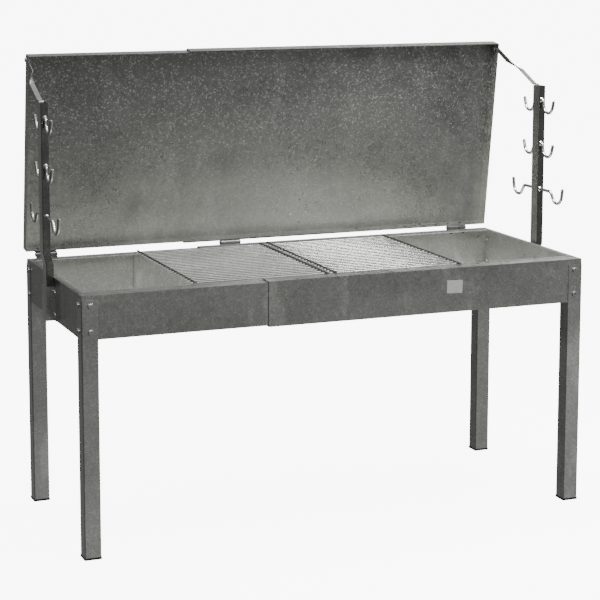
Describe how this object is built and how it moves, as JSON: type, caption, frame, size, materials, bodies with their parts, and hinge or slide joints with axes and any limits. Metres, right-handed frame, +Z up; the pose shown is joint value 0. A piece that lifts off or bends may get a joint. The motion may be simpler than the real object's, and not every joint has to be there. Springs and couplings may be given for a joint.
{
  "type": "charcoal spit roaster",
  "caption": "Long folded-sheet charcoal spit roaster on square legs, with a hinged lid propped open, hooked end posts for spits, and cooking grids.",
  "frame": {"origin": "on the floor under the middle of the roaster", "axes": "+X along the roaster to its right end, +Y from the front to the hinge side, +Z up"},
  "size_m": [1.352, 0.5737, 1.148],
  "materials": {
    "tray_sheet": "galvanised, satin, spangled",
    "lid_sheet": "galvanised, satin, spangled",
    "leg_sheet": "galvanised, satin",
    "post_steel": "zinc plated tube",
    "hook_wire": "zinc plated wire",
    "stay_steel": "zinc plated bar",
    "grid_wire": "bright plated wire",
    "hinge_steel": "zinc plated",
    "zinc_fasteners": "bright zinc",
    "black_plastic": "matte",
    "label_paper": "blank, matte"
  },
  "bodies": {
    "right_half": {"blank_label": "label_paper", "foot_right_back": "black_plastic", "foot_right_front": "black_plastic", "hinge_middle_pin": "hinge_steel", "hinge_middle_tray_leaf": "hinge_steel", "hinge_right_pin": "hinge_steel", "hinge_right_tray_leaf": "hinge_steel", "hook_right_low": "hook_wire", "hook_right_middle": "hook_wire", "hook_right_top": "hook_wire", "leg_bolts_right_back": "zinc_fasteners", "leg_bolts_right_front": "zinc_fasteners", "leg_nuts_right_back": "zinc_fasteners", "leg_nuts_right_front": "zinc_fasteners", "leg_right_back": "leg_sheet", "leg_right_front": "leg_sheet", "post_right": "post_steel", "socket_right": "leg_sheet", "socket_screws_right": "zinc_fasteners", "tray_right": "tray_sheet", "tray_rivets_right": "hinge_steel"},
    "left_half": {"foot_left_back": "black_plastic", "foot_left_front": "black_plastic", "hinge_left_pin": "hinge_steel", "hinge_left_tray_leaf": "hinge_steel", "hook_left_low": "hook_wire", "hook_left_middle": "hook_wire", "hook_left_top": "hook_wire", "leg_bolts_left_back": "zinc_fasteners", "leg_bolts_left_front": "zinc_fasteners", "leg_left_back": "leg_sheet", "leg_left_front": "leg_sheet", "leg_nuts_left_back": "zinc_fasteners", "leg_nuts_left_front": "zinc_fasteners", "post_left": "post_steel", "socket_left": "leg_sheet", "socket_screws_left": "zinc_fasteners", "tray_left": "tray_sheet", "tray_rivets_left": "hinge_steel"},
    "lid_right": {"lid_right": "lid_sheet", "hinge_middle_lid_leaf": "hinge_steel", "hinge_right_lid_leaf": "hinge_steel", "lid_rivets_right": "hinge_steel", "stay_bolt_right": "zinc_fasteners"},
    "lid_left": {"lid_left": "lid_sheet", "hinge_left_lid_leaf": "hinge_steel", "lid_rivets_left": "hinge_steel", "stay_bolt_left": "zinc_fasteners"},
    "stay_right": {"stay_right": "stay_steel"},
    "stay_left": {"stay_left": "stay_steel"},
    "grid_right": {"grid_right": "grid_wire"},
    "grid_left": {"grid_left": "grid_wire"}
  },
  "joints": [
    {"name": "extension", "type": "slide", "parent": "right_half", "child": "left_half", "axis": [1, 0, 0], "range_m": [-0.1, 0.26]},
    {"name": "lid_right_hinge", "type": "hinge", "parent": "right_half", "child": "lid_right", "pos_m": [0.45, 0.2714, 0.632], "axis": [1, 0, 0], "range_deg": [0, 82]},
    {"name": "lid_left_hinge", "type": "hinge", "parent": "left_half", "child": "lid_left", "pos_m": [-0.597, 0.2714, 0.632], "axis": [1, 0, 0], "range_deg": [0, 82]},
    {"name": "stay_right_pivot", "type": "hinge", "parent": "lid_right", "child": "stay_right", "pos_m": [0.6515, 0.2165, 1.13041], "axis": [1, 0, 0], "range_deg": [-200.9, 0]},
    {"name": "stay_left_pivot", "type": "hinge", "parent": "lid_left", "child": "stay_left", "pos_m": [-0.6515, 0.2165, 1.13041], "axis": [1, 0, 0], "range_deg": [-200.9, 0]},
    {"name": "grid_right_lift", "type": "slide", "parent": "right_half", "child": "grid_right", "axis": [0, 0, 1], "range_m": [0, 0.018]},
    {"name": "grid_left_lift", "type": "slide", "parent": "right_half", "child": "grid_left", "axis": [0, 0, 1], "range_m": [0, 0.018]}
  ],
  "couplings": [
    {"joint": "lid_left_hinge", "follows": "lid_right_hinge", "ratio": 1},
    {"joint": "stay_right_pivot", "follows": "lid_right_hinge", "ratio": -2.45},
    {"joint": "stay_left_pivot", "follows": "lid_right_hinge", "ratio": -2.45}
  ]
}
